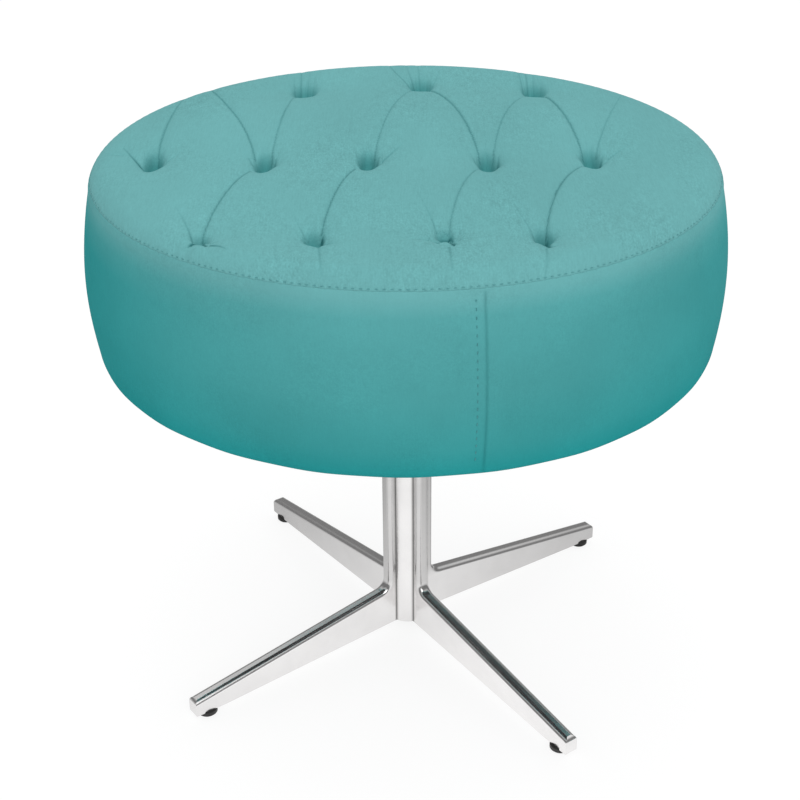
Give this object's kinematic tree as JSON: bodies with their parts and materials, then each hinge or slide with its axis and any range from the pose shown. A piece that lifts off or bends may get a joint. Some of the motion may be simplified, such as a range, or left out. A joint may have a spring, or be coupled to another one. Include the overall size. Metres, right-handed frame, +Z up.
{
  "type": "swivel pouf",
  "caption": "Round upholstered pouf with a tufted crowned top and plain side band, turning on a polished column with splayed flat legs and floor glides.",
  "frame": {"origin": "on the floor, on the column's axis", "axes": "+Z up along the column; -Y towards the seat's front, with the shortest row of tufts at the back"},
  "size_m": [0.5304, 0.5304, 0.483],
  "materials": {
    "polished_steel": "mirror polished chrome plate",
    "black_glide": "moulded black plastic",
    "white_nylon": "turned nylon",
    "black_plastic": "moulded black plastic",
    "bearing_steel": "ground bearing steel",
    "cage_brass": "pressed brass",
    "spindle_steel": "turned steel",
    "black_plate": "black powder coat",
    "zinc_fasteners": "bright zinc plate",
    "plywood": "birch plywood",
    "hardboard": "bent hardboard",
    "softwood": "sawn pine",
    "black_dust_cloth": "spunbonded black cloth",
    "teal_suede": "brushed suede cloth, short nap",
    "foam": "open-cell upholstery foam",
    "twine": "waxed tufting twine"
  },
  "bodies": {
    "base": {"leg_front_right": "polished_steel", "leg_plug_front_right": "polished_steel", "glide_front_right": "black_glide", "leg_back_right": "polished_steel", "leg_plug_back_right": "polished_steel", "glide_back_right": "black_glide", "leg_back_left": "polished_steel", "leg_plug_back_left": "polished_steel", "glide_back_left": "black_glide", "leg_front_left": "polished_steel", "leg_plug_front_left": "polished_steel", "glide_front_left": "black_glide", "column_tube": "polished_steel", "upper_bush": "white_nylon", "lower_bush": "white_nylon", "column_plug": "black_plastic", "bearing_cup": "polished_steel", "lower_race": "bearing_steel"},
    "bearing_cage": {"ball_cage": "cage_brass", "bearing_balls": "bearing_steel"},
    "seat": {"upper_race": "bearing_steel", "spindle": "spindle_steel", "thrust_washer": "white_nylon", "retaining_ring": "spindle_steel", "mounting_plate": "black_plate", "plate_bolts": "zinc_fasteners", "plate_washers": "zinc_fasteners", "tee_nuts": "zinc_fasteners", "post_screws": "zinc_fasteners", "frame_post_1": "softwood", "frame_post_2": "softwood", "frame_post_3": "softwood", "frame_post_4": "softwood", "bottom_board": "plywood", "top_board": "plywood", "side_hoop": "hardboard", "dust_cover": "black_dust_cloth", "dust_cover_staples": "zinc_fasteners", "top_cover": "teal_suede", "side_band": "teal_suede", "top_foam": "foam", "side_foam": "foam", "tuft_twines": "twine", "tuft_toggles": "black_plastic"}
  },
  "joints": [
    {"name": "seat_swivel", "type": "hinge", "parent": "base", "child": "seat", "pos_m": [0, 0, 0.3], "axis": [0, 0, 1], "continuous": true},
    {"name": "cage_turn", "type": "hinge", "parent": "base", "child": "bearing_cage", "pos_m": [0, 0, 0.2925], "axis": [0, 0, 1], "continuous": true}
  ],
  "couplings": [
    {"joint": "cage_turn", "follows": "seat_swivel", "ratio": 0.5}
  ]
}
